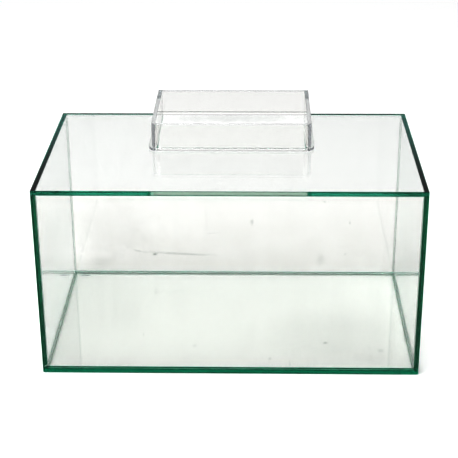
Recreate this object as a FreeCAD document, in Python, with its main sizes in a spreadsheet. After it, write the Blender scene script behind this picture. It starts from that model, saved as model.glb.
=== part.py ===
import FreeCAD, Part
import os

import Sketcher
from FreeCAD import Rotation, Vector

# A glass hamster cage: a rimless tank of bonded float glass, closed by a lift-off glass lid.
# The lid has a hatch at the middle of its rear edge, with an open collar of clear acrylic round it.
# Millimetres, +Z up, front towards -Y, origin at the middle of the footprint on the table.

DIMENSIONS = (
    ("tank_length", 450.0, "outside length of the tank, along X"),
    ("tank_depth", 268.0, "outside depth of the tank, along Y"),
    ("tank_rise", 236.0, "from the table to the top face of the lid"),
    ("glass", 5.0, "thickness of every glass pane"),
    ("arris", 0.4, "ground chamfer on every edge of the glass"),
    ("bond", 0.6, "silicone film between two bonded panes"),
    ("bead", 3.0, "radius of the hollow silicone bead inside each bonded corner"),
    ("bead_stop", 3.0, "bare glass between a corner bead's end and the lid"),
    ("seat_gap", 0.1, "clearance between the resting lid and the wall tops"),
    ("lid_gap", 0.6, "clearance between the lid and the taller rear pane"),
    ("collar_length", 195.0, "outside length of the collar walls, along X"),
    ("collar_depth", 134.0, "outside depth of the collar walls, along Y"),
    ("collar_rise", 33.0, "from the top face of the lid to the collar's rim"),
    ("acrylic", 5.0, "thickness of the collar walls"),
    ("bend", 10.0, "outside radius of the two bends in the collar"),
    ("flange", 3.0, "thickness of the collar's base flange"),
    ("flange_lip", 3.5, "how far the flange stands out at the front and the sides"),
    ("rear_lip", 2.5, "how far the flange stands out at the rear"),
    ("front_round", 12.0, "radius of the flange's front corners"),
    ("rear_round", 5.0, "radius of the flange's rear corners"),
    ("glue", 0.2, "adhesive film under the flange"),
    ("glue_inset", 0.5, "how far the adhesive stays inside the flange's edges"),
    ("polish", 0.3, "chamfer on the collar's exposed acrylic edges"),
    ("smear_length", 19.0, "length of the sealant smear on the floor"),
    ("smear_depth", 8.0, "depth of that smear"),
    ("smear_rise", 0.5, "height of that smear"),
    ("smear_inset", 15.0, "from the left pane to the middle of the smear"),
)

# Places that several pieces share, as formulas on the sheet's cells.
INNER_LENGTH = "(dims.tank_length - 2 * dims.glass)"
INNER_DEPTH = "(dims.tank_depth - 2 * dims.glass)"
WALL_BOTTOM = "(dims.glass + dims.bond)"
LID_BOTTOM = "(dims.tank_rise - dims.glass)"
WALL_TOP = f"({LID_BOTTOM} - dims.seat_gap)"
WALL_RISE = f"({WALL_TOP} - {WALL_BOTTOM})"
REAR_RISE = f"(dims.tank_rise - {WALL_BOTTOM})"
SIDE_DEPTH = f"({INNER_DEPTH} - 2 * dims.bond)"
LID_DEPTH = "(dims.tank_depth - dims.glass - dims.lid_gap)"
LID_MIDDLE = "(-(dims.glass + dims.lid_gap) / 2)"
HATCH_LENGTH = "(dims.collar_length - 2 * dims.acrylic)"
HATCH_DEPTH = "(dims.collar_depth - 2 * dims.acrylic)"
COLLAR_REAR = "(dims.tank_depth / 2 - dims.rear_lip)"
COLLAR_FRONT = f"({COLLAR_REAR} - dims.collar_depth)"
HATCH_FRONT = f"({COLLAR_FRONT} + dims.acrylic)"
HATCH_ROUND = "(dims.bend - dims.acrylic)"
FLANGE_BOTTOM = "(dims.tank_rise + dims.glue)"
COLLAR_BOTTOM = f"({FLANGE_BOTTOM} + dims.flange)"
COLLAR_WALL = f"(dims.tank_rise + dims.collar_rise - {COLLAR_BOTTOM})"
FLANGE_LENGTH = "(dims.collar_length + 2 * dims.flange_lip)"
FLANGE_DEPTH = "(dims.collar_depth + dims.flange_lip + dims.rear_lip)"
FLANGE_MIDDLE = f"(dims.tank_depth / 2 - {FLANGE_DEPTH} / 2)"

SPARE = 2.0  # how far a cutting tool runs past what it cuts
NEAR = 0.01  # two coordinates closer than this are the same

doc = FreeCAD.newDocument("hamster_cage")
sub_parts = []


def make_sheet():
    sheet = doc.addObject("Spreadsheet::Sheet", "dims")
    for row, (alias, value, meaning) in enumerate(DIMENSIONS, start=1):
        sheet.set(f"A{row}", meaning)
        sheet.set(f"B{row}", str(value))
        sheet.setAlias(f"B{row}", alias)
    doc.recompute()
    return sheet


def bind(item, formulas):
    for path, formula in formulas.items():
        item.setExpression(path, formula)


def place(item, x="0", y="0", z="0"):
    bind(item, {".Placement.Base.x": x, ".Placement.Base.y": y, ".Placement.Base.z": z})


def keep(item, label):
    """Labels a finished sub-part and lists it for writing."""
    item.Label = label
    sub_parts.append(item)


def new_body(name):
    return doc.addObject("PartDesign::Body", name)


def origin_plane(body, role):
    return next(f for f in body.Origin.OriginFeatures if f.Role == role)


def rectangle(body, name, role, width, depth, front=None):
    """A rectangle on an origin plane, centred on it, or centred in X with its front edge at front."""
    sketch = body.newObject("Sketcher::SketchObject", name)
    sketch.AttachmentSupport = [(origin_plane(body, role), "")]
    sketch.MapMode = "FlatFace"
    corners = [Vector(-1, 1, 0), Vector(1, 1, 0), Vector(1, 2, 0), Vector(-1, 2, 0)]
    for i in range(4):
        sketch.addGeometry(Part.LineSegment(corners[i], corners[(i + 1) % 4]), False)
    for i in range(4):
        sketch.addConstraint(Sketcher.Constraint("Coincident", i, 2, (i + 1) % 4, 1))
    for i in (1, 3):
        sketch.addConstraint(Sketcher.Constraint("Vertical", i))
    sketch.addConstraint(Sketcher.Constraint("Horizontal", 2))
    across = sketch.addConstraint(Sketcher.Constraint("DistanceX", 0, 1, 0, 2, 2.0))
    along = sketch.addConstraint(Sketcher.Constraint("DistanceY", 1, 1, 1, 2, 1.0))
    bind(sketch, {f"Constraints[{across}]": width, f"Constraints[{along}]": depth})
    if front is None:
        sketch.addConstraint(Sketcher.Constraint("Horizontal", 0))
        sketch.addConstraint(Sketcher.Constraint("Symmetric", 0, 1, 2, 1, -1, 1))
    else:
        sketch.addConstraint(Sketcher.Constraint("Symmetric", 0, 1, 0, 2, -2))
        start = sketch.addConstraint(Sketcher.Constraint("DistanceY", -1, 1, 0, 1, 1.0))
        bind(sketch, {f"Constraints[{start}]": front})
    return sketch


def pad(body, sketch, length, centred=False):
    feature = body.newObject("PartDesign::Pad", "pad")
    feature.Profile = sketch
    feature.SideType = "Symmetric" if centred else "One side"
    bind(feature, {"Length": length})
    doc.recompute()
    return feature


def cut_through(body, sketch):
    """A pocket upwards through the whole body, checked to have taken material away."""
    before = body.Shape.Volume
    feature = body.newObject("PartDesign::Pocket", "pocket")
    feature.Profile = sketch
    feature.Type = "ThroughAll"
    feature.Reversed = True
    doc.recompute()
    if not body.Shape.Volume < before - 1:
        raise RuntimeError(f"the pocket in {body.Name} cuts nothing")
    return feature


def edges_where(shape, wanted):
    """Names of the edges of a shape for which wanted(edge) is true."""
    return [f"Edge{i}" for i, edge in enumerate(shape.Edges, start=1) if wanted(edge)]


def upright(x, y):
    """Picks the straight vertical edge through (x, y) in the body's own frame, on either side of X = 0."""

    def wanted(edge):
        box = edge.BoundBox
        thin = box.XLength < NEAR and box.YLength < NEAR
        return thin and abs(abs(box.Center.x) - x) < NEAR and abs(box.Center.y - y) < NEAR

    return wanted


def dress(body, kind, size, wanted=None):
    """A PartDesign fillet or chamfer of the body's tip, on all edges or on the wanted ones."""
    base = body.Tip
    names = edges_where(base.Shape, wanted or (lambda edge: True))
    if not names:
        raise RuntimeError(f"no edge to dress in {body.Name}")
    feature = body.newObject(f"PartDesign::{kind}", kind.lower())
    feature.Base = (base, names)
    bind(feature, {"Radius" if kind == "Fillet" else "Size": size})
    doc.recompute()
    return feature


def value(formula):
    """The number that a formula on the sheet gives."""
    return float(doc.getObject("dims").evalExpression(formula))


# ---- the five bonded panes of the tank ----


def glass_pane(label, role, width, height, x="0", y="0", z="0"):
    """A ground and arrised pane: a centred rectangle on an origin plane, padded both ways."""
    body = new_body(label)
    sketch = rectangle(body, label + "_outline", role, width, height)
    pad(body, sketch, "dims.glass", centred=True)
    dress(body, "Chamfer", "dims.arris")
    place(body, x, y, z)
    keep(body, label)


def make_tank_panes():
    wall_middle = f"({WALL_BOTTOM} + {WALL_RISE} / 2)"
    rear_middle = f"({WALL_BOTTOM} + {REAR_RISE} / 2)"
    wall_y = "(dims.tank_depth - dims.glass) / 2"
    wall_x = "(dims.tank_length - dims.glass) / 2"
    length, depth = "dims.tank_length", "dims.tank_depth"
    glass_pane("base_pane", "XY_Plane", length, depth, z="dims.glass / 2")
    glass_pane("front_pane", "XZ_Plane", length, WALL_RISE, y="-" + wall_y, z=wall_middle)
    glass_pane("rear_pane", "XZ_Plane", length, REAR_RISE, y=wall_y, z=rear_middle)
    glass_pane("left_pane", "YZ_Plane", SIDE_DEPTH, WALL_RISE, x="-" + wall_x, z=wall_middle)
    glass_pane("right_pane", "YZ_Plane", SIDE_DEPTH, WALL_RISE, x=wall_x, z=wall_middle)


# ---- silicone: a film in every bonded joint and a hollow bead in every inside corner ----


def box(name, length, width, height, x, y, z):
    """A Part box with its lowest corner at (x, y, z)."""
    item = doc.addObject("Part::Box", name)
    bind(item, {"Length": length, "Width": width, "Height": height})
    place(item, x, y, z)
    return item


def boolean(kind, name, base, tool):
    item = doc.addObject(f"Part::{kind}", name)
    item.Base = base
    item.Tool = tool
    return item


def make_beads():
    """All the beads as one solid: the space inside the panes less the same space with round edges."""
    rise = f"({WALL_TOP} - dims.bead_stop - dims.glass)"
    cavity = new_body("cavity")
    sketch = rectangle(cavity, "cavity_outline", "XY_Plane", INNER_LENGTH, INNER_DEPTH)
    pad(cavity, sketch, f"{rise} + {SPARE}")
    top = cavity.Shape.BoundBox.ZMax
    dress(cavity, "Fillet", "dims.bead", lambda edge: edge.BoundBox.ZMin < top - NEAR)
    place(cavity, z="dims.glass")
    x = f"-{INNER_LENGTH} / 2"
    y = f"-{INNER_DEPTH} / 2"
    inside = box("inside", INNER_LENGTH, INNER_DEPTH, rise, x, y, "dims.glass")
    return boolean("Cut", "beads", inside, cavity)


def base_seal(side, beads, angle, run, film_run, reach):
    """The joint between the base and one wall: its film, and its bead mitred at both ends.

    The wall's inner face is at reach from the origin, and run is its length inside.
    """
    region = doc.addObject("Part::Wedge", f"mitre_{side}")
    depth = f"(dims.bead + {SPARE})"
    formulas = {
        "Xmin": f"-{run} / 2",
        "Xmax": f"{run} / 2",
        "Ymin": "0",
        "Ymax": depth,
        "X2min": f"-{run} / 2 + {depth}",
        "X2max": f"{run} / 2 - {depth}",
        "Zmin": "0",
        "Z2min": "0",
        "Zmax": "dims.bead",
        "Z2max": "dims.bead",
    }
    bind(region, formulas)
    film = doc.addObject("Part::Box", f"film_{side}")
    bind(film, {"Length": film_run, "Width": "dims.glass", "Height": "dims.bond"})
    turn = Rotation(Vector(0, 0, 1), angle)
    sideways = turn.multVec(Vector(1, 0, 0))
    inward = turn.multVec(Vector(0, 1, 0))
    region.Placement.Rotation = turn
    film.Placement.Rotation = turn
    corner = [
        f"{-inward[i]:.0f} * ({reach} + dims.glass) - {sideways[i]:.0f} * {film_run} / 2"
        for i in (0, 1)
    ]
    foot = [f"{-inward[i]:.0f} * {reach}" for i in (0, 1)]
    place(region, foot[0], foot[1], "dims.glass")
    place(film, corner[0], corner[1], "dims.glass")
    bead = boolean("Common", f"bead_{side}", beads, region)
    keep(boolean("Fuse", f"base_seal_{side}", bead, film), f"base_seal_{side}")


def corner_seal(side, beads, x_sign, y_sign):
    """The upright joint between a side pane's end and the front or rear pane."""
    reach = f"(dims.bead + {SPARE})"
    inner_x = f"{INNER_LENGTH} / 2"
    inner_y = f"{INNER_DEPTH} / 2"
    low_x = f"-{inner_x}" if x_sign < 0 else f"{inner_x} - {reach}"
    low_y = f"-{inner_y}" if y_sign < 0 else f"{inner_y} - {reach}"
    bottom = "(dims.glass + dims.bead)"
    region = box(f"corner_{side}", reach, reach, "dims.tank_rise", low_x, low_y, bottom)
    film_x = "-dims.tank_length / 2" if x_sign < 0 else inner_x
    film_y = f"-{inner_y}" if y_sign < 0 else f"{inner_y} - dims.bond"
    film = box(
        f"upright_film_{side}", "dims.glass", "dims.bond", WALL_RISE, film_x, film_y, WALL_BOTTOM
    )
    bead = boolean("Common", f"upright_bead_{side}", beads, region)
    keep(boolean("Fuse", f"corner_seal_{side}", bead, film), f"corner_seal_{side}")


def make_seals():
    beads = make_beads()
    half_length = f"{INNER_LENGTH} / 2"
    half_depth = f"{INNER_DEPTH} / 2"
    base_seal("front", beads, 0, INNER_LENGTH, "dims.tank_length", half_depth)
    base_seal("rear", beads, 180, INNER_LENGTH, "dims.tank_length", half_depth)
    base_seal("right", beads, 90, INNER_DEPTH, INNER_DEPTH, half_length)
    base_seal("left", beads, -90, INNER_DEPTH, INNER_DEPTH, half_length)
    for side, x_sign, y_sign in (
        ("front_left", -1, -1),
        ("front_right", 1, -1),
        ("rear_left", -1, 1),
        ("rear_right", 1, 1),
    ):
        corner_seal(side, beads, x_sign, y_sign)


def make_smear():
    """A thin smear of sealant left on the floor beside the rear joint: the top half of an ellipsoid."""
    blob = doc.addObject("Part::Ellipsoid", "smear_blob")
    radii = {
        "Radius1": "dims.smear_rise",
        "Radius2": "dims.smear_length / 2",
        "Radius3": "dims.smear_depth / 2",
    }
    bind(blob, radii)
    x = f"-{INNER_LENGTH} / 2 + dims.smear_inset"
    y = f"{INNER_DEPTH} / 2 - dims.bead - dims.smear_depth / 2"
    place(blob, x, y, "dims.glass")
    under = box(
        "smear_floor",
        "dims.smear_length",
        "dims.smear_depth",
        "dims.glass",
        f"{x} - dims.smear_length / 2",
        f"{y} - dims.smear_depth / 2",
        "0",
    )
    keep(boolean("Cut", "sealant_smear", blob, under), "sealant_smear")


# ---- the lid: a notched plate and the acrylic collar bonded round the notch ----


def make_lid_plate():
    body = new_body("lid_plate")
    outline = rectangle(body, "lid_outline", "XY_Plane", "dims.tank_length", LID_DEPTH)
    pad(body, outline, "dims.glass")
    front = f"{HATCH_FRONT} - {LID_MIDDLE}"
    notch = rectangle(body, "notch", "XY_Plane", HATCH_LENGTH, LID_DEPTH, front)
    cut_through(body, notch)
    dress(body, "Fillet", HATCH_ROUND, upright(value(HATCH_LENGTH) / 2, value(front)))
    dress(body, "Chamfer", "dims.arris")
    place(body, y=LID_MIDDLE, z=LID_BOTTOM)
    keep(body, "lid_plate")


def acrylic_frame(label, length, depth, middle, height, bottom, hatch_depth):
    """An upright rectangular frame round the hatch, or a U where hatch_depth runs past its rear."""
    body = new_body(label)
    outline = rectangle(body, f"{label}_outline", "XY_Plane", length, depth)
    pad(body, outline, height)
    front = f"{HATCH_FRONT} - {middle}"
    hatch = rectangle(body, f"{label}_hatch", "XY_Plane", HATCH_LENGTH, hatch_depth, front)
    cut_through(body, hatch)
    dress(body, "Fillet", HATCH_ROUND, upright(value(HATCH_LENGTH) / 2, value(front)))
    place(body, y=middle, z=bottom)
    keep(body, label)
    return body


def polish_rim(body):
    """Chamfers every edge of the body's top face."""
    top = body.Shape.BoundBox.ZMax - body.Placement.Base.z
    dress(body, "Chamfer", "dims.polish", lambda edge: edge.BoundBox.ZMin > top - NEAR)


def make_flange():
    body = acrylic_frame(
        "collar_flange",
        FLANGE_LENGTH,
        FLANGE_DEPTH,
        FLANGE_MIDDLE,
        "dims.flange",
        FLANGE_BOTTOM,
        HATCH_DEPTH,
    )
    half_length = value(FLANGE_LENGTH) / 2
    half_depth = value(FLANGE_DEPTH) / 2
    dress(body, "Fillet", "dims.front_round", upright(half_length, -half_depth))
    dress(body, "Fillet", "dims.rear_round", upright(half_length, half_depth))
    polish_rim(body)


def make_collar_wrap():
    """The front and side walls, bent from one strip."""
    depth = "(dims.collar_depth - dims.acrylic)"
    middle = f"({COLLAR_FRONT} + {depth} / 2)"
    body = acrylic_frame(
        "collar_wrap",
        "dims.collar_length",
        depth,
        middle,
        COLLAR_WALL,
        COLLAR_BOTTOM,
        depth,
    )
    corner = upright(value("dims.collar_length") / 2, -value(depth) / 2)
    dress(body, "Fillet", "dims.bend", corner)
    polish_rim(body)


def make_collar_rear_wall():
    body = new_body("collar_rear_wall")
    outline = rectangle(body, "rear_wall_outline", "XY_Plane", "dims.collar_length", "dims.acrylic")
    pad(body, outline, COLLAR_WALL)
    polish_rim(body)
    place(body, y=f"{COLLAR_REAR} - dims.acrylic / 2", z=COLLAR_BOTTOM)
    keep(body, "collar_rear_wall")


def make_collar_glue():
    """The adhesive under the front and the sides of the flange, on the plate only."""
    front = f"(dims.tank_depth / 2 - {FLANGE_DEPTH} + dims.glue_inset)"
    rear = f"({LID_DEPTH} - dims.tank_depth / 2 - dims.glue_inset)"
    depth = f"({rear} - {front})"
    middle = f"(({rear} + {front}) / 2)"
    length = f"({FLANGE_LENGTH} - 2 * dims.glue_inset)"
    body = new_body("collar_glue")
    pad(body, rectangle(body, "glue_outline", "XY_Plane", length, depth), "dims.glue")
    hatch_length = f"{HATCH_LENGTH} + 2 * dims.glue_inset"
    hatch_front = f"{HATCH_FRONT} - dims.glue_inset - {middle}"
    hatch = rectangle(body, "glue_hatch", "XY_Plane", hatch_length, depth, hatch_front)
    cut_through(body, hatch)
    corner = upright(value(length) / 2, -value(depth) / 2)
    dress(body, "Fillet", "dims.front_round - dims.glue_inset", corner)
    place(body, y=middle, z="dims.tank_rise")
    keep(body, "collar_glue")


def check_and_write():
    """Stops on any failed object or sub-part, then writes one STEP file for each sub-part."""
    doc.recompute()
    for item in doc.Objects:
        failed = [state for state in item.State if state in ("Invalid", "Error")]
        if failed:
            raise RuntimeError(f"{item.Name} is {failed}")
    for item in sub_parts:
        if item.Shape.isNull() or not item.Shape.isValid() or len(item.Shape.Solids) != 1:
            raise RuntimeError(f"{item.Label} isn't one valid solid")
    os.makedirs("parts", exist_ok=True)
    for item in sub_parts:
        item.Shape.exportStep(f"parts/{item.Label}.step")
        size = item.Shape.BoundBox
        print(
            f"{item.Label:22s} {item.Shape.Volume / 1000:9.3f} cm3  "
            f"X {size.XMin:8.2f} {size.XMax:8.2f}  Y {size.YMin:8.2f} {size.YMax:8.2f}  "
            f"Z {size.ZMin:7.2f} {size.ZMax:7.2f}"
        )


make_sheet()
make_tank_panes()
make_seals()
make_smear()
make_lid_plate()
make_flange()
make_collar_wrap()
make_collar_rear_wall()
make_collar_glue()
check_and_write()
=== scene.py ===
"""Looks of a rimless glass hamster cage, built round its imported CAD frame. Lengths are metres."""

import math
from collections import namedtuple

import bmesh
import bpy
from mathutils import Matrix, Vector, noise


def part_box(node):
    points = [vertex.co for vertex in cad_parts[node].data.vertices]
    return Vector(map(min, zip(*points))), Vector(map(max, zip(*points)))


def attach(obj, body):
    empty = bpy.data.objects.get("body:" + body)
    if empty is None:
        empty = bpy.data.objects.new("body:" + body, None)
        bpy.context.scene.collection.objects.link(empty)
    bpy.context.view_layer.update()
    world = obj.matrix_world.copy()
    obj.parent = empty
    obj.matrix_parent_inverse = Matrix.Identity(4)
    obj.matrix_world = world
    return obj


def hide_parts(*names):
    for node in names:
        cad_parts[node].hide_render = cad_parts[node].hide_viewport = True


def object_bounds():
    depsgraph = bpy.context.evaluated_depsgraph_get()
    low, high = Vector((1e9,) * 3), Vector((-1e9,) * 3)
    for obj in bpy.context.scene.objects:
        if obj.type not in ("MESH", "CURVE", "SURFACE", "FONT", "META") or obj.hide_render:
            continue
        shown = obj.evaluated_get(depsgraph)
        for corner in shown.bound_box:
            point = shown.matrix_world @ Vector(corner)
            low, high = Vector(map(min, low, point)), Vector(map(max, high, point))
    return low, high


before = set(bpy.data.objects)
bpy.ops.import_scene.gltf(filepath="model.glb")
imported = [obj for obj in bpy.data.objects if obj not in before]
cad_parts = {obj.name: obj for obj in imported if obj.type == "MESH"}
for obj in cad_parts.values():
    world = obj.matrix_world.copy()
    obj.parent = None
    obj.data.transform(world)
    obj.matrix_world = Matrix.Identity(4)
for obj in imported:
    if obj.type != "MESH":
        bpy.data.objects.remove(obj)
cad_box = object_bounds()

MM = 0.001
AIR = 0.03 * MM  # gap kept between two clear pieces, so that no two surfaces coincide

# Where things are, read from the frame.
base_low, base_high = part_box("base_pane")
front_low, front_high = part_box("front_pane")
left_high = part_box("left_pane")[1]
lid_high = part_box("lid_plate")[1]
flange_low, flange_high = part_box("collar_flange")
wrap_low, wrap_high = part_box("collar_wrap")
wall_low, wall_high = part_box("collar_rear_wall")
glue_low, glue_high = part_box("collar_glue")
smear_low, smear_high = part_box("sealant_smear")
base_seal_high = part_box("base_seal_left")[1]
upright_seal_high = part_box("corner_seal_front_left")[1]

GLASS = base_high.z - base_low.z
BOND = front_low.z - base_high.z
BEAD = base_seal_high.z - base_high.z
ACRYLIC = wall_high.y - wall_low.y
HATCH_HALF = wrap_high.x - ACRYLIC  # half width of the opening that the collar stands round


# ---- shader helpers ----


class Surface:
    """One material's node tree, with short calls for the nodes that the surfaces here use."""

    def __init__(self, name):
        self.material = bpy.data.materials.new(name)
        self.material.use_nodes = True
        self.tree = self.material.node_tree
        self.tree.nodes.clear()
        self.place = self.add("TexCoord").outputs["Object"]
        self.normal = self.add("NewGeometry").outputs["True Normal"]

    def add(self, kind, inputs=None, **settings):
        node = self.tree.nodes.new("ShaderNode" + kind)
        for name, value in settings.items():
            setattr(node, name, value)
        for name, value in (inputs or {}).items():
            self.feed(node.inputs[name], value)
        return node

    def feed(self, socket, value):
        if isinstance(value, bpy.types.NodeSocket):
            self.tree.links.new(value, socket)
        else:
            socket.default_value = value

    def maths(self, operation, first, second=0.0):
        return self.add("Math", {0: first, 1: second}, operation=operation).outputs[0]

    def stretched(self, factors):
        """The place on the object, with each axis multiplied by its factor."""
        inputs = {0: self.place, 1: factors}
        return self.add("VectorMath", inputs, operation="MULTIPLY").outputs[0]

    def axis_of(self, vector, axis):
        return self.add("SeparateXYZ", {"Vector": vector}).outputs["XYZ".index(axis)]

    def noise(self, scale, detail=2.0, factors=(1, 1, 1)):
        """Noise with scale features to the metre, drawn out along axes with factors under 1."""
        inputs = {"Vector": self.stretched(factors), "Scale": scale, "Detail": detail}
        return self.add("TexNoise", inputs).outputs["Fac"]

    def specks(self, spacing, size):
        """1 inside sparse round specks, which lie spacing apart and are up to size across."""
        inputs = {"Vector": self.place, "Scale": 1 / spacing}
        distance = self.add("TexVoronoi", inputs).outputs["Distance"]
        return self.ramp(distance, size / spacing / 2, size / spacing / 3)

    def ramp(self, value, low, high, at_low=0.0, at_high=1.0):
        """A smooth step: at_low up to low, and at_high from high on."""
        inputs = {
            "Value": value,
            "From Min": low,
            "From Max": high,
            "To Min": at_low,
            "To Max": at_high,
        }
        return self.add("MapRange", inputs, interpolation_type="SMOOTHSTEP").outputs[0]

    def blend(self, share, first, second):
        """A colour from first to second."""
        node = self.add("Mix", data_type="RGBA")
        self.feed(node.inputs[0], share)
        for socket, colour in ((node.inputs[6], first), (node.inputs[7], second)):
            self.feed(socket, colour if isinstance(colour, bpy.types.NodeSocket) else (*colour, 1))
        return node.outputs[2]

    def bump(self, height, strength, distance):
        inputs = {"Strength": strength, "Distance": distance, "Height": height}
        return self.add("Bump", inputs).outputs["Normal"]

    def finish(self, shader, absorption=None, density=0.0):
        out = self.add("OutputMaterial")
        self.feed(out.inputs["Surface"], shader.outputs[0])
        if absorption is not None:
            inputs = {"Color": (*absorption, 1), "Density": density}
            volume = self.add("VolumeAbsorption", inputs)
            self.feed(out.inputs["Volume"], volume.outputs[0])
        return self.material


# ---- materials ----

# Shares of a surface's head-on reflection that are left, as behind a polarising filter.
EDGE_MIRROR = (0.2, 0.2, 0.2)
FRONT_MIRROR = (0.35, 0.35, 0.35)
SIDE_MIRROR = (0.75, 0.75, 0.75)
PLAIN_MIRROR = (1.0, 1.0, 1.0)

GLASS_IOR = 1.52
ACRYLIC_IOR = 1.49
SILICONE_IOR = 1.41
ADHESIVE_IOR = 1.48

GLASS_TAKEN = (7.0, 2.1, 3.0)  # per metre of float glass, in red, green and blue
ARRIS_TONE = (0.03, 0.16, 0.11)
MARK_AND_SHADE_TONE = (0.20, 0.22, 0.21)
SPECK_TONE = (0.45, 0.5, 0.48)

# Painted light and shade on the glass: where an edge differs from its pane's own edge tone, and the
# lid's strips over the side panes.
LID_LIT_BESIDE_HATCH = (0.70, 0.84, 0.80)
LID_SHADED_END = (0.35, 0.46, 0.40)
LID_SHADED_CORNER = (0.15, 0.42, 0.34)
SIDE_TOP_SHADED_FRONT, SIDE_TOP_LIT_REAR = (0.001, 0.006, 0.004), (0.12, 0.45, 0.42)
LID_STRIP_SHADED_FRONT, LID_STRIP_LIT_REAR = (0.02, 0.07, 0.05), (0.30, 0.85, 0.78)
FRONT_PANE_LIT_FOOT = (0.50, 0.78, 0.66)
REAR_PANE_LIT_FOOT = (0.92, 0.97, 0.95)
BASE_EDGE_LIT_BEHIND = (0.60, 0.85, 0.76)
LID_END_REACH = (30 * MM, 12 * MM)  # how far from the lid's end its tone starts, and is full
BEHIND_REACH = (0.0, 50 * MM)  # the same for the base's edge, back from the middle

GROUND_GRAIN = 900  # per metre, of the ground edges
GROUND_ROUGH = (0.004, 0.02)
WIPED_ROUGH = 0.004
WIPED_STRETCH = 0.08
BEFORE_HATCH_SATIN = 0.3

# Each sheet of glass: the axis across its thickness, the axis that its wiping streaks follow, the
# tones of its broad faces and its edges, and how much its broad faces reflect. The edge tones
# hold painted light and shade, so they differ from pane to pane.
Pane = namedtuple("Pane", "broad up clear edge mirror")
PANES = {
    "base_pane": Pane("Z", "Y", (0.99, 0.975, 0.97), (0.06, 0.62, 0.46), PLAIN_MIRROR),
    "front_pane": Pane("Y", "Z", (1.0, 0.97, 0.965), (0.14, 0.50, 0.38), FRONT_MIRROR),
    # The rear pane's broad faces are a little darker: painted shade, for the floor behind the cage
    # that lies in its shadow.
    "rear_pane": Pane("Y", "Z", (0.97, 0.95, 0.95), (0.70, 0.80, 0.78), PLAIN_MIRROR),
    "left_pane": Pane("X", "Z", (0.93, 0.90, 0.90), (0.14, 0.50, 0.38), SIDE_MIRROR),
    "right_pane": Pane("X", "Z", (0.93, 0.90, 0.90), (0.14, 0.50, 0.38), SIDE_MIRROR),
    "lid_plate": Pane("Z", "Y", (1.0, 0.97, 0.97), (0.97, 0.90, 0.84), PLAIN_MIRROR),
}

# Painted shade that darkens some panes towards one end: along an axis, from its light end to its
# dark end, and its tone.
SHADE_GRADIENTS = {
    "rear_pane": ("Z", 170 * MM, 40 * MM, (0.92, 0.90, 0.895)),
    "left_pane": ("Z", 200 * MM, 120 * MM, (0.86, 0.84, 0.84)),
    "base_pane": ("Y", -50 * MM, -130 * MM, (0.96, 0.94, 0.94)),
}

# Marks left by use, and wide faint patches of painted shade, in millimetres: centre, half size,
# lean in degrees, strength. Each is placed along X and along the axis of the wiping streaks, and
# goes right through the pane.
REAR_MARKS_AND_SHADE = (
    (-77, 34, 84, 1.9, 3, 0.26),
    (-109, 33, 5, 1.9, 0, 0.60),
    (-133, 38, 12, 1.4, 15, 0.30),
    (-180, 43, 24, 5, 0, 0.07),
    # Painted shade: a wide faint patch at the lower left.
    (-182, 22, 26, 15, 0, 0.06),
    (-30, 65, 15, 1.2, -6, 0.12),
    (25, 82, 4, 7, 0, 0.14),
    (123, 112, 3, 1.4, 0, 0.35),
    (158, 81, 2, 1.6, 0, 0.35),
    (153, 34, 2.4, 1.8, 0, 0.35),
    (119, 25, 12, 14, 0, 0.07),
    # Painted shade: a band along the top, behind the collar's opening, and a wide patch over the
    # lower left.
    (0, 231, 140, 12, 0, 0.16),
    (-165, 75, 95, 75, 0, 0.08),
)
FLOOR_MARKS_AND_SHADE = (
    (-111, -46, 1.8, 1.8, 0, 0.35),
    (-45, -73, 5, 2, 0, 0.25),
    (48, -104, 4, 3, 0, 0.25),
    (72, -116, 1, 13, 0, 0.20),
    (117, -64, 6, 3, 0, 0.40),
    (185, -83, 7, 3, 0, 0.25),
    # Painted shade: two wide faint patches that darken the right front of the floor.
    (168, -100, 48, 24, 0, 0.05),
    (140, -45, 150, 110, 0, 0.05),
)
MARKS_AND_SHADE = {"rear_pane": REAR_MARKS_AND_SHADE, "base_pane": FLOOR_MARKS_AND_SHADE}
RAGGED = 0.6  # how far the outlines wander, as a share of a mark's half size
MARK_REACH = (1.45, 0.8)  # where a mark starts and where it is full, in the same shares


def marked_and_shaded(s, pane, marks):
    """The darkest of a pane's marks and patches of painted shade at each point, with ragged
    outlines.
    """
    ragged = s.maths("MULTIPLY", s.maths("ADD", s.noise(260, 3), s.noise(70, 3)), RAGGED)
    turn_axis = "XYZ".index(pane.broad)
    darkest = 0.0
    for across, along, half_across, half_along, lean, strength in marks:
        centre = [across * MM, 0.0, 0.0]
        half = [half_across * MM, 1.0, 1.0]
        centre["XYZ".index(pane.up)] = along * MM
        half["XYZ".index(pane.up)] = half_along * MM
        turn = [0.0, 0.0, 0.0]
        turn[turn_axis] = math.radians(lean)
        inputs = {"Vector": s.place, "Location": centre, "Rotation": turn, "Scale": half}
        local = s.add("Mapping", inputs, vector_type="TEXTURE").outputs[0]
        reach = s.add("VectorMath", {0: local}, operation="LENGTH").outputs["Value"]
        inside = s.ramp(s.maths("ADD", reach, ragged), *MARK_REACH)
        darkest = s.maths("MAXIMUM", darkest, s.maths("MULTIPLY", inside, strength))
    return darkest


def hatch_edge(s, offset):
    """1 beyond the hatch's ends, and 1 right at its corners, for points offset from the middle."""
    beside = s.ramp(offset, HATCH_HALF - 5 * MM, HATCH_HALF - 2 * MM)
    corner = s.maths("MULTIPLY", beside, s.ramp(offset, HATCH_HALF + 1 * MM, HATCH_HALF - 1 * MM))
    return beside, corner


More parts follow.
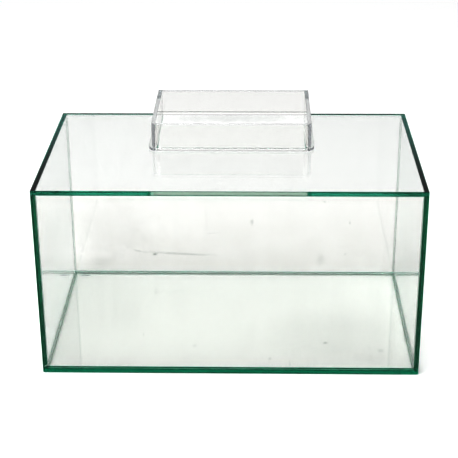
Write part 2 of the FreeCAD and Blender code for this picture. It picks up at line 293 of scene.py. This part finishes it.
def lid_edge_green(s, tone):
    """The lid's edges, with painted light and shade: paler beside the hatch, and darker at its
    corners and the lid's ends.
    """
    offset = s.maths("ABSOLUTE", s.axis_of(s.place, "X"))
    beside, corner = hatch_edge(s, offset)
    end = s.ramp(offset, *(lid_high.x - reach for reach in LID_END_REACH))
    tone = s.blend(beside, tone, LID_LIT_BESIDE_HATCH)
    tone = s.blend(end, tone, LID_SHADED_END)
    return s.blend(corner, tone, LID_SHADED_CORNER)


def rearward(s):
    """0 at the front of the tank, and 1 at its rear, where painted light makes a top edge and the
    lid's strips more green.
    """
    return s.ramp(s.axis_of(s.place, "Y"), base_low.y, base_high.y)


def edge_green(s, node, pane):
    """The colour of a pane's ground edges, with painted light and shade by place where the pane has
    it.
    """
    grain = s.noise(GROUND_GRAIN, 2)
    tone = s.blend(grain, [0.9 * share for share in pane.edge], pane.edge)
    # Painted light and shade: the lid's edges, the base's rear half, the side panes' top edges, and
    # the feet of the front and rear panes.
    if node == "lid_plate":
        return lid_edge_green(s, tone)
    if node == "base_pane":
        behind = s.ramp(s.axis_of(s.place, "Y"), *BEHIND_REACH)
        return s.blend(behind, tone, BASE_EDGE_LIT_BEHIND)
    if node in ("left_pane", "right_pane"):
        upright = s.maths("ABSOLUTE", s.axis_of(s.normal, "Z"))
        return s.blend(upright, tone, s.blend(rearward(s), SIDE_TOP_SHADED_FRONT, SIDE_TOP_LIT_REAR))
    foot = s.ramp(s.axis_of(s.normal, "Z"), -0.5, -0.9)
    return s.blend(foot, tone, FRONT_PANE_LIT_FOOT if node == "front_pane" else REAR_PANE_LIT_FOOT)


def wiped_dirt(s, pane, seed):
    """Thin streaks left by wiping a pane, in patches."""
    factors = [1.0, 1.0, 1.0]
    factors["XYZ".index(pane.up)] = WIPED_STRETCH
    streak = s.ramp(s.noise(60 + seed, 4, factors), 0.45, 0.75)
    film = s.ramp(s.noise(9 + seed, 3), 0.4, 0.7)
    return s.maths("MULTIPLY", streak, film)


def broad_tone(s, node, pane, seed, dirt):
    """The colour of a pane's broad faces, with their wiped dirt, painted shade towards one end,
    marks, patches of painted shade and specks.
    """
    tone = s.blend(dirt, pane.clear, [0.975 * share for share in pane.clear])
    # Painted shade, mottled, which darkens the pane towards one end.
    if node in SHADE_GRADIENTS:
        axis, light_end, dark_end, shade_tone = SHADE_GRADIENTS[node]
        shaded = s.ramp(s.axis_of(s.place, axis), light_end, dark_end)
        cloud = s.ramp(s.noise(22, 5), 0.3, 0.7, 0.5, 1.0)
        tone = s.blend(s.maths("MULTIPLY", shaded, cloud), tone, shade_tone)
    # Marks, and patches of painted shade.
    if node in MARKS_AND_SHADE:
        tone = s.blend(marked_and_shaded(s, pane, MARKS_AND_SHADE[node]), tone, MARK_AND_SHADE_TONE)
    speck = s.specks(17 * MM + seed * MM, 0.9 * MM)
    return s.blend(s.maths("MULTIPLY", speck, 0.25), tone, SPECK_TONE)


def satin_clearness(s, edge):
    """The clearness of the lid plate, whose edge is ground satin in front of the hatch."""
    offset = s.maths("ABSOLUTE", s.axis_of(s.place, "X"))
    before_hatch = s.maths("SUBTRACT", 1.0, s.maths("MAXIMUM", *hatch_edge(s, offset)))
    satin = s.maths("MULTIPLY", s.maths("MULTIPLY", edge, before_hatch), BEFORE_HATCH_SATIN)
    return s.maths("SUBTRACT", 1.0, satin)


def over_side_panes(s):
    """1 on the two strips of the lid plate that rest on the side panes, where shade and light are
    painted.
    """
    offset = s.maths("ABSOLUTE", s.axis_of(s.place, "X"))
    return s.ramp(offset, -left_high.x - 0.2 * MM, -left_high.x + 0.2 * MM)


def float_glass(node, pane, seed):
    """Soda-lime float glass: clear broad faces, and ground green edges with dark arrises."""
    s = Surface("float_glass_" + node)
    facing = s.maths("ABSOLUTE", s.axis_of(s.normal, pane.broad))
    edge = s.ramp(facing, 0.8, 0.9, 1.0, 0.0)
    arris = s.maths("MULTIPLY", edge, s.ramp(facing, 0.4, 0.6))
    dirt = wiped_dirt(s, pane, seed)
    clear = broad_tone(s, node, pane, seed, dirt)
    green = s.blend(arris, edge_green(s, node, pane), ARRIS_TONE)
    clearness, matt = 1.0, edge
    if node == "lid_plate":
        # Painted shade and light on the lid's strips over the side panes: dark at the front and
        # paler green at the rear, for the side panes' top edges seen through the lid.
        painted_strip = over_side_panes(s)
        clear = s.blend(painted_strip, clear, s.blend(rearward(s), LID_STRIP_SHADED_FRONT, LID_STRIP_LIT_REAR))
        clearness, matt = satin_clearness(s, edge), s.maths("MAXIMUM", edge, painted_strip)
    rough_dirt = s.maths("MULTIPLY", dirt, WIPED_ROUGH)
    rough_edge = s.ramp(s.noise(GROUND_GRAIN, 2), 0.3, 0.7, *GROUND_ROUGH)
    shader = s.add(
        "BsdfPrincipled",
        {
            "Base Color": s.blend(edge, clear, green),
            "Specular Tint": s.blend(matt, pane.mirror, EDGE_MIRROR),
            "Roughness": s.add("Mix", {0: edge, 2: rough_dirt, 3: rough_edge}).outputs[0],
            "IOR": GLASS_IOR,
            "Transmission Weight": clearness,
            "Normal": s.bump(s.noise(35), 0.01, 0.2 * MM),
        },
    )
    densest = max(GLASS_TAKEN)
    colour = [1 - taken / densest for taken in GLASS_TAKEN]
    return s.finish(shader, colour, densest)


ACRYLIC_TONE = (0.91, 0.91, 0.90)
REAR_WALL_TONE = (0.87, 0.87, 0.86)
FLANGE_TONE = (0.97, 0.97, 0.96)
HAIR_TONE = (0.8, 0.8, 0.8)
RIM_TONE, SHADED_RIM_TONE = (0.64, 0.64, 0.64), (0.38, 0.40, 0.41)
ACRYLIC_CAST = (0.5, 0.53, 0.57)
ACRYLIC_DENSITY = 6.0  # per metre
RIM_DEPTH = (3 * MM, 2 * MM)  # below the rim's top: where its satin starts, and is full
RIM_SHADE = (32 * MM, 29 * MM)  # before the rear wall: where the rim's shade starts, and is full
RIM_ROUGH, RIM_SATIN = 0.1, 0.5
HAZE_ROUGH = 0.002


def acrylic_tone(s, height, depth):
    """The colour of the bent walls, the rear wall and the flange, with fine wiping scratches."""
    in_rear = s.ramp(depth, wall_low.y - MM, wall_low.y)
    in_flange = s.ramp(height, flange_high.z + 0.1 * MM, flange_high.z)
    tone = s.blend(in_rear, ACRYLIC_TONE, REAR_WALL_TONE)
    tone = s.blend(in_flange, tone, FLANGE_TONE)
    hair = s.ramp(s.noise(420, 3, (1, 0.08, 0.3)), 0.62, 0.7)
    return s.blend(s.maths("MULTIPLY", hair, 0.3), tone, HAIR_TONE)


def rim_tone(s, depth):
    """The colour of the walls' rim, which is darker towards its rear corners."""
    aside = s.ramp(s.maths("ABSOLUTE", s.axis_of(s.place, "X")), HATCH_HALF - MM, HATCH_HALF)
    behind = s.ramp(depth, *(wall_low.y - reach for reach in RIM_SHADE))
    return s.blend(s.maths("MULTIPLY", aside, behind), RIM_TONE, SHADED_RIM_TONE)


def clear_acrylic(name):
    """Cast acrylic with a faint grey cast, and a rim that is left satin from the saw."""
    s = Surface(name)
    height, depth = s.axis_of(s.place, "Z"), s.axis_of(s.place, "Y")
    upward = s.maths("ABSOLUTE", s.axis_of(s.normal, "Z"))
    at_top = s.ramp(height, *(wrap_high.z - reach for reach in RIM_DEPTH))
    rim = s.maths("MULTIPLY", at_top, upward)
    haze = s.maths("MULTIPLY", s.ramp(s.noise(45, 3), 0.4, 0.8), HAZE_ROUGH)
    shader = s.add(
        "BsdfPrincipled",
        {
            "Base Color": s.blend(rim, acrylic_tone(s, height, depth), rim_tone(s, depth)),
            "Roughness": s.maths("ADD", haze, s.maths("MULTIPLY", rim, RIM_ROUGH)),
            "IOR": ACRYLIC_IOR,
            "Transmission Weight": s.maths("SUBTRACT", 1.0, s.maths("MULTIPLY", rim, RIM_SATIN)),
        },
    )
    return s.finish(shader, ACRYLIC_CAST, ACRYLIC_DENSITY)


BUBBLE_TONE = (0.6, 0.66, 0.63)
ADHESIVE_TONE, ADHESIVE_BUBBLE_TONE = (0.93, 0.95, 0.95), (0.80, 0.83, 0.83)
PAPER_TONE, PAPER_MOTTLE = (0.80, 0.80, 0.80), (0.81, 0.81, 0.81)


def silicone(name, thin_tone, thick_tone, roughest, mirror=EDGE_MIRROR, clearness=1.0):
    """Finger-smoothed silicone: thick and thin places, faint ripples and a few tiny bubbles."""
    s = Surface(name)
    ripple = s.noise(90, 1, (0.3, 0.3, 0.3))
    bubble = s.specks(6.1 * MM, 0.5 * MM)
    cloud = s.noise(70, 2)
    colour = s.blend(cloud, thick_tone, thin_tone)
    colour = s.blend(s.maths("MULTIPLY", bubble, 0.5), colour, BUBBLE_TONE)
    rough = s.ramp(cloud, 0.3, 0.7, 0.5 * roughest, roughest)
    shader = s.add(
        "BsdfPrincipled",
        {
            "Base Color": colour,
            "Roughness": rough,
            "IOR": SILICONE_IOR,
            "Specular Tint": (*mirror, 1),
            "Transmission Weight": clearness,
            "Normal": s.bump(ripple, 0.1, 0.2 * MM),
        },
    )
    return s.finish(shader)


def adhesive(name):
    """The clear bonding film under the flange, with small trapped bubbles."""
    s = Surface(name)
    bubble = s.specks(2.3 * MM, 0.9 * MM)
    shader = s.add(
        "BsdfPrincipled",
        {
            "Base Color": s.blend(bubble, ADHESIVE_TONE, ADHESIVE_BUBBLE_TONE),
            "Roughness": s.ramp(bubble, 0.0, 1.0, 0.05, 0.4),
            "IOR": ADHESIVE_IOR,
            "Transmission Weight": 1.0,
            "Normal": s.bump(s.noise(300, 2), 0.1, 0.1 * MM),
        },
    )
    return s.finish(shader)


def backdrop_white(name):
    """White studio paper, with a barely visible mottle."""
    s = Surface(name)
    tone = s.blend(s.noise(3, 4), PAPER_TONE, PAPER_MOTTLE)
    shader = s.add("BsdfDiffuse", {"Color": tone, "Roughness": 0.3})
    return s.finish(shader)


# ---- mesh helpers ----


def link(name, data):
    """A new object in the scene."""
    thing = bpy.data.objects.new(name, data)
    bpy.context.scene.collection.objects.link(thing)
    return thing


def ridden(name, mesh, body, material, nodes):
    """A piece with this mesh that stands for some CAD nodes and moves with a body."""
    mesh.materials.clear()
    mesh.materials.append(material)
    piece = link(name, mesh)
    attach(piece, body)
    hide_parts(*nodes)


def silicone_piece(name, rings, bend, material, node):
    """A closed sweep of silicone through rings, which stands for one CAD node of the tank."""
    mesh = bpy.data.meshes.new(name)
    points, faces = swept(rings)
    mesh.from_pydata(points, [], faces)
    shell = bmesh.new()
    shell.from_mesh(mesh)
    bmesh.ops.recalc_face_normals(shell, faces=shell.faces)
    shell.to_mesh(mesh)
    shell.free()
    mesh.shade_smooth()
    mesh.set_sharp_from_angle(angle=bend)
    ridden(name, mesh, "tank", material, [node])


def swept(rings):
    """Points and faces of a closed sweep through rings with the same number of points."""
    count = len(rings[0])
    points = [point for ring in rings for point in ring]
    faces = [tuple(range(count)), tuple(range(len(points) - count, len(points)))]
    for i in range(len(rings) - 1):
        start = i * count
        for j in range(count):
            k = (j + 1) % count
            faces.append((start + j, start + k, start + count + k, start + count + j))
    return points, faces


# ---- silicone joints ----

ARC_STEPS = 8
STATION = 4 * MM  # spacing of the sections along a joint
JOINT_BEND = math.radians(35)  # faces that meet at less are shaded as one bend
SMEAR_BEND = math.radians(60)

# Radius of each joint's bead, as a share of BEAD.
FRONT_BEAD = 0.6
REAR_BEAD = 0.15
SIDE_BEAD = 0.8
UPRIGHT_BEAD = 0.45

# Tones where the silicone is thin and where it is thick, and its greatest roughness.
FLOOR_SILICONE = ((0.86, 0.94, 0.90), (0.76, 0.86, 0.81), 0.10)
REAR_SILICONE = ((0.90, 0.93, 0.91), (0.84, 0.88, 0.86), 0.05)
# The front joint's tones are dark green: painted shade on clear silicone.
SHADED_FRONT_SILICONE = ((0.07, 0.46, 0.31), (0.05, 0.38, 0.26), 0.05)
UPRIGHT_SILICONE = ((0.92, 0.96, 0.94), (0.82, 0.88, 0.85), 0.05)
SMEAR_SILICONE = ((0.96, 0.975, 0.98), (0.93, 0.95, 0.96), 0.3)
REAR_CLEARNESS = 0.4

BELOW_LID = 3 * MM
FEWEST_SECTIONS = 8
BEAD_WOBBLE, WOBBLES = 0.04, 28  # share of the radius, and how many to the metre
FILM_EDGE, FILM_CREEP, CREEPS = 0.35 * MM, 0.2 * MM, 60  # from the glass's edge, to the metre


def joint_section(radius, film_edge):
    """A joint's section as (inward, off the bonded face): its film, then its concave bead."""
    points = [(film_edge, AIR), (radius, AIR)]
    for i in range(1, ARC_STEPS + 1):
        angle = math.pi / 2 * i / ARC_STEPS
        points.append((radius - radius * math.sin(angle), radius - radius * math.cos(angle)))
    points = [(max(inward, AIR) if off > AIR else inward, max(off, AIR)) for inward, off in points]
    points.append((AIR, BOND - AIR))
    points.append((film_edge, BOND - AIR))
    return points


def joint(name, origin, along, inward, off, film_span, bead_span, size, seed, material):
    """A film and a finger-smoothed bead along one bonded joint, from span start to span end."""
    length = film_span[1] - film_span[0]
    steps = max(FEWEST_SECTIONS, round(length / STATION))
    rings = []
    for i in range(steps + 1):
        share = i / steps
        wobble = noise.noise(Vector((share * length * WOBBLES, seed, 0.5)))
        creep = noise.noise(Vector((share * length * CREEPS, seed, 7.5)))
        radius = size * (1 - BEAD_WOBBLE + BEAD_WOBBLE * wobble)
        film_edge = -GLASS + FILM_EDGE + FILM_CREEP * creep
        ring = []
        for x, y in joint_section(radius, film_edge):
            span = film_span if x < 0 else bead_span
            inset = max(x, 0.0) if off.z > 0.5 else 0.0
            low, high = span[0] + inset, span[1] - inset
            place = low + (high - low) * share
            ring.append(origin + along * place + inward * x + off * y)
        rings.append(ring)
    silicone_piece(name + "_bead", rings, JOINT_BEND, material, name)


def make_floor_joints():
    """The joints along the base: front and rear over its whole width, the sides between them."""
    front = silicone("silicone_front", *SHADED_FRONT_SILICONE)
    rear = silicone("silicone_rear", *REAR_SILICONE, PLAIN_MIRROR, REAR_CLEARNESS)
    side = silicone("silicone_floor", *FLOOR_SILICONE)
    up, x_axis, y_axis = Vector((0, 0, 1)), Vector((1, 0, 0)), Vector((0, 1, 0))
    half_x, half_y = left_high.x, front_high.y
    film = (base_low.x + AIR, base_high.x - AIR)
    span = (half_x + AIR, -half_x - AIR)
    ends = (("front", 1, FRONT_BEAD, front), ("rear", -1, REAR_BEAD, rear))
    for seed, (end, sign, share, material) in enumerate(ends):
        origin = Vector((0, half_y * sign, base_high.z))
        name, inward, size = "base_seal_" + end, y_axis * sign, share * BEAD
        joint(name, origin, x_axis, inward, up, film, span, size, seed, material)
    span = (half_y + AIR, -half_y - AIR)
    for seed, (end, sign) in enumerate((("left", 1), ("right", -1)), start=2):
        origin = Vector((half_x * sign, 0, base_high.z))
        name, inward, size = "base_seal_" + end, x_axis * sign, SIDE_BEAD * BEAD
        joint(name, origin, y_axis, inward, up, span, span, size, seed, side)


def make_upright_joints():
    """The joints in the tank's four corners, each with a bead that ends below the lid."""
    material = silicone("silicone_upright", *UPRIGHT_SILICONE)
    film = (front_low.z + AIR, front_high.z - AIR)
    span = (base_high.z + BEAD + AIR, upright_seal_high.z - BELOW_LID)
    size = UPRIGHT_BEAD * BEAD
    corners = [(y, x) for y in (("front", 1), ("rear", -1)) for x in (("left", 1), ("right", -1))]
    for seed, ((y_name, y_sign), (x_name, x_sign)) in enumerate(corners, start=4):
        origin = Vector((left_high.x * x_sign, front_high.y * y_sign, 0))
        name = f"corner_seal_{y_name}_{x_name}"
        along, inward, off = Vector((0, 0, 1)), Vector((x_sign, 0, 0)), Vector((0, y_sign, 0))
        joint(name, origin, along, inward, off, film, span, size, seed, material)


SMEAR_RINGS = 6
SMEAR_STEPS = 36
SMEAR_THIN, SMEAR_THICK = 0.02 * MM, 0.3 * MM  # at its outline and at its middle


def make_smear():
    """A smear of sealant: a low dome that thins out to a wandering outline."""
    centre = (Vector(smear_low) + Vector(smear_high)) / 2
    half_x, half_y = (smear_high.x - smear_low.x) / 2, (smear_high.y - smear_low.y) / 2
    level = smear_low.z + AIR
    rings = [smear_ring(centre, half_x, half_y, 1.0, level)]
    for i in range(SMEAR_RINGS + 1):
        reach = math.cos(math.pi / 2 * i / (SMEAR_RINGS + 1))
        height = level + SMEAR_THIN + (SMEAR_THICK - SMEAR_THIN) * (1 - reach * reach)
        rings.append(smear_ring(centre, half_x, half_y, reach, height))
    material = silicone("silicone_smear", *SMEAR_SILICONE, PLAIN_MIRROR)
    silicone_piece("smear", rings, SMEAR_BEND, material, "sealant_smear")


def smear_ring(centre, half_x, half_y, reach, height):
    """One contour of the smear, at a share reach of its outline."""
    ring = []
    for j in range(SMEAR_STEPS):
        angle = 2 * math.pi * j / SMEAR_STEPS
        wander = noise.noise(Vector((2 * math.cos(angle), 2 * math.sin(angle), 3.0)))
        share = reach * (0.88 + 0.1 * wander)
        x, y = half_x * share * math.cos(angle), half_y * share * math.sin(angle)
        ring.append((centre.x + x, centre.y + y, height))
    return ring


# ---- the collar ----

SOFT_EDGE = 0.2 * MM  # radius of the flame-polished acrylic edges
WELD = 0.05 * MM  # how far a solvent-welded piece reaches into the next
MERGE = 0.001 * MM  # points this close are one
FLAT = math.radians(1)  # faces that meet at less are one flat face
BEND = math.radians(25)  # faces that meet at less are shaded as one bend
CORNER = math.radians(60)  # faces that meet at more have an eased edge between them
BROAD_FACE = 100 * MM * MM  # faces of this area or more are shaded flat
OUTSIDE = 1.0  # a corner this far out leaves a copy as it is


def solid(node, low, high):
    """A throwaway copy of a CAD node, held between two corners of a box."""
    mesh = bpy.data.meshes.new("solid_" + node)
    shell = bmesh.new()
    shell.from_mesh(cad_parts[node].data)
    bmesh.ops.remove_doubles(shell, verts=shell.verts, dist=MERGE)
    for point in shell.verts:
        for axis in range(3):
            point.co[axis] = min(max(point.co[axis], low[axis]), high[axis])
    shell.to_mesh(mesh)
    shell.free()
    return link("solid_" + node, mesh)


def reaching(node, low, new_low):
    """A throwaway copy of a CAD node, with its faces at the low corner moved to new_low."""
    copy = solid(node, (-OUTSIDE,) * 3, (OUTSIDE,) * 3)
    for point in copy.data.vertices:
        for axis in range(3):
            if point.co[axis] < low[axis] + WELD / 5:
                point.co[axis] = new_low[axis]
    return copy


def union(copies):
    """The mesh of several throwaway solids made one."""
    whole, *others = copies
    for other in others:
        join = whole.modifiers.new(other.name, "BOOLEAN")
        join.operation = "UNION"
        join.solver = "EXACT"
        join.object = other
    bpy.context.view_layer.update()
    mesh = bpy.data.meshes.new_from_object(
        whole.evaluated_get(bpy.context.evaluated_depsgraph_get())
    )
    for copy in copies:
        bpy.data.meshes.remove(copy.data)
    return mesh


def ease(mesh):
    """Makes a mesh's flat faces whole, and eases its edges."""
    shell = bmesh.new()
    shell.from_mesh(mesh)
    bmesh.ops.remove_doubles(shell, verts=shell.verts, dist=MERGE)
    bmesh.ops.dissolve_limit(shell, angle_limit=FLAT, verts=shell.verts, edges=shell.edges)
    bmesh.ops.bevel(
        shell,
        geom=[edge for edge in shell.edges if edge.is_convex and edge.calc_face_angle(0) > CORNER],
        offset=SOFT_EDGE,
        segments=2,
        profile=0.5,
        affect="EDGES",
        clamp_overlap=True,
    )
    shell.to_mesh(mesh)
    shell.free()
    mesh.set_sharp_from_angle(angle=BEND)
    for face in mesh.polygons:
        face.use_smooth = face.area < BROAD_FACE


def make_collar():
    """The flange, the bent wrap and the rear wall, welded into one clear piece."""
    foot = Vector((-OUTSIDE, -OUTSIDE, wrap_low.z))
    wrap = reaching("collar_wrap", foot, foot - Vector((0, 0, MM)))
    wall = reaching("collar_rear_wall", wall_low, wall_low - Vector((0, WELD, MM)))
    flange = solid("collar_flange", flange_low, flange_high)
    collar = union([flange, wrap, wall])
    ease(collar)
    nodes = ["collar_flange", "collar_wrap", "collar_rear_wall"]
    ridden("collar", collar, "lid", clear_acrylic("clear_acrylic"), nodes)
    film_low, film_high = Vector(glue_low), Vector(glue_high)
    film_low.z += AIR
    film_high.z -= AIR
    film = union([solid("collar_glue", film_low, film_high)])
    ridden("glue", film, "lid", adhesive("adhesive"), ["collar_glue"])


# ---- the scene ----


def make_panes():
    """The panes and the lid plate stay the CAD's own, and each gets its glass."""
    for seed, (node, pane) in enumerate(PANES.items()):
        glass = float_glass(node, pane, seed)
        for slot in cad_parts[node].material_slots:
            slot.material = glass


FLOOR_HALF = 12.0
FLOOR_GAP = 0.5 * MM  # between the floor and the cage's underside


def make_floor():
    mesh = bpy.data.meshes.new("studio_floor")
    shell = bmesh.new()
    bmesh.ops.create_grid(shell, x_segments=8, y_segments=8, size=FLOOR_HALF)
    shell.to_mesh(mesh)
    shell.free()
    mesh.materials.append(backdrop_white("backdrop_white"))
    floor = link("studio_floor", mesh)
    floor.location.z = cad_box[0][2] - FLOOR_GAP


# Brightness of the surroundings, by the height of the direction of view: 0 level, 1 straight up.
HORIZON_LEVEL = 1.0
BAND_LEVEL = 0.85
DOME_LEVEL = 1.28
HORIZON_TO_BAND = (0.17, 0.27)
BAND_TO_DOME = (0.52, 0.7)

KEY_PLACE = Vector((-0.5, -0.8, 1.7))
KEY_TARGET = Vector((0, 0, 0.1))
KEY_SIZE = (1.2, 1.2)
KEY_POWER = 20.0


def make_world():
    """A white overhead dome and a white horizon, with a slightly dimmer band between them."""
    world = bpy.data.worlds.new("studio")
    bpy.context.scene.world = world
    world.use_nodes = True
    nodes, links = world.node_tree.nodes, world.node_tree.links
    nodes.clear()
    place = nodes.new("ShaderNodeTexCoord")
    split = nodes.new("ShaderNodeSeparateXYZ")
    total = nodes.new("ShaderNodeMath")
    background = nodes.new("ShaderNodeBackground")
    out = nodes.new("ShaderNodeOutputWorld")
    links.new(place.outputs["Generated"], split.inputs[0])
    steps = (
        (*HORIZON_TO_BAND, HORIZON_LEVEL, BAND_LEVEL),
        (*BAND_TO_DOME, 0.0, DOME_LEVEL - BAND_LEVEL),
    )
    for i, step in enumerate(steps):
        level = nodes.new("ShaderNodeMapRange")
        level.interpolation_type = "SMOOTHSTEP"
        for socket, number in zip(level.inputs[1:5], step):
            socket.default_value = number
        links.new(split.outputs["Z"], level.inputs[0])
        links.new(level.outputs[0], total.inputs[i])
    links.new(total.outputs[0], background.inputs["Strength"])
    links.new(background.outputs[0], out.inputs["Surface"])
    background.inputs["Color"].default_value = (1.0, 1.0, 1.0, 1)


def make_key_light():
    data = bpy.data.lights.new("key_light", "AREA")
    data.shape = "RECTANGLE"
    data.size, data.size_y = KEY_SIZE
    data.energy = KEY_POWER
    light = link("key_light", data)
    light.location = KEY_PLACE
    light.rotation_euler = (KEY_TARGET - KEY_PLACE).to_track_quat("-Z", "Y").to_euler()


CAMERA_PLACE = (0.0317, -1.454, 0.7859)
CAMERA_PITCH = math.radians(24.289)
CAMERA_YAW = math.radians(-1.386)
CAMERA_ROLL = math.radians(0.345)
CAMERA_LENS = 99.91
SENSOR_WIDTH = 36.0


def make_camera():
    data = bpy.data.cameras.new("camera")
    data.lens = CAMERA_LENS
    data.sensor_width = SENSOR_WIDTH
    data.clip_start = 0.05
    camera = link("camera", data)
    sine, cosine = math.sin(CAMERA_YAW), math.cos(CAMERA_YAW)
    level = math.cos(CAMERA_PITCH)
    forward = Vector((sine * level, cosine * level, -math.sin(CAMERA_PITCH)))
    right = Vector((cosine, -sine, 0))
    down = forward.cross(right)
    turned_right = right * math.cos(CAMERA_ROLL) + down * math.sin(CAMERA_ROLL)
    turned_down = down * math.cos(CAMERA_ROLL) - right * math.sin(CAMERA_ROLL)
    turn = Matrix((turned_right, -turned_down, -forward)).transposed().to_4x4()
    camera.matrix_world = Matrix.Translation(CAMERA_PLACE) @ turn
    bpy.context.scene.camera = camera


PRINT_GAMMA = 0.5
LONG_PATH = 40  # bounces that light needs to pass through all the panes


def set_up_render():
    scene = bpy.context.scene
    scene.view_settings.view_transform = "Standard"
    scene.view_settings.gamma = PRINT_GAMMA
    scene.cycles.max_bounces = LONG_PATH + 8
    scene.cycles.diffuse_bounces = 4
    scene.cycles.glossy_bounces = LONG_PATH
    scene.cycles.transmission_bounces = LONG_PATH
    scene.cycles.transparent_max_bounces = 16
    scene.cycles.sample_clamp_indirect = 0.0
    scene.cycles.blur_glossy = 0.0


make_panes()
make_floor_joints()
make_upright_joints()
make_smear()
make_collar()
make_floor()
make_world()
make_key_light()
make_camera()
set_up_render()
